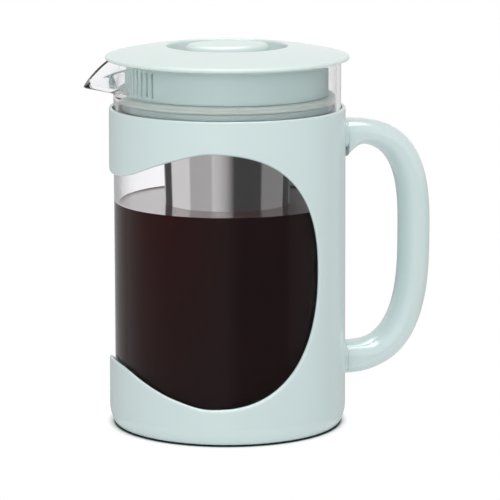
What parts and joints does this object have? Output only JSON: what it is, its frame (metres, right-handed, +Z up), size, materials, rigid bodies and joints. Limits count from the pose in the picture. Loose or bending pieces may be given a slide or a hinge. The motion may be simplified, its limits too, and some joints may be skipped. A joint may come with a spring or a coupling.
{
  "type": "cold brew coffee maker",
  "caption": "Glass brewing jug in a moulded sleeve with a loop handle and cut-away windows, a lift-off lid with strainer slots, and a steel filter core hung under the lid.",
  "frame": {"origin": "on the jug's axis, in the plane that the foot pad stands on", "axes": "+Z up the jug's axis, +X towards the handle, -X towards the pouring spout"},
  "size_m": [0.1806, 0.1222, 0.193],
  "materials": {
    "mint_plastic": "glossy moulded plastic in pale mint",
    "lid_plastic": "satin moulded plastic in pale mint",
    "clear_glass": "clear borosilicate glass",
    "white_silicone": "soft matt silicone",
    "foot_silicone": "soft matt silicone",
    "filter_steel": "polished stainless steel",
    "mesh_steel": "fine woven stainless mesh",
    "screw_steel": "plain stainless steel"
  },
  "bodies": {
    "sleeve_body": {"sleeve": "mint_plastic", "handle": "mint_plastic", "handle_screws": "screw_steel", "base_cushion": "white_silicone", "foot_pad": "foot_silicone", "grip_ring": "white_silicone"},
    "carafe": {"glass_carafe": "clear_glass"},
    "seal": {"lid_seal": "white_silicone"},
    "lid": {"lid_cover": "lid_plastic", "lid_plug": "lid_plastic", "filter_socket": "lid_plastic"},
    "filter": {"filter_collar": "lid_plastic", "filter_seal": "white_silicone", "filter_tube": "filter_steel", "filter_frame": "filter_steel", "filter_mesh": "mesh_steel", "filter_base": "filter_steel"}
  },
  "joints": [
    {"name": "carafe_lift", "type": "slide", "parent": "sleeve_body", "child": "carafe", "axis": [0, 0, 1], "range_m": [0, 0.165]},
    {"name": "lid_lift", "type": "slide", "parent": "carafe", "child": "seal", "axis": [0, 0, 1], "range_m": [0, 0.172]},
    {"name": "lid_turn", "type": "hinge", "parent": "seal", "child": "lid", "pos_m": [0, 0, 0.166], "axis": [0, 0, 1], "continuous": true},
    {"name": "filter_twist", "type": "hinge", "parent": "lid", "child": "filter", "pos_m": [0, 0, 0.174], "axis": [0, 0, 1], "range_deg": [0, 45]}
  ]
}
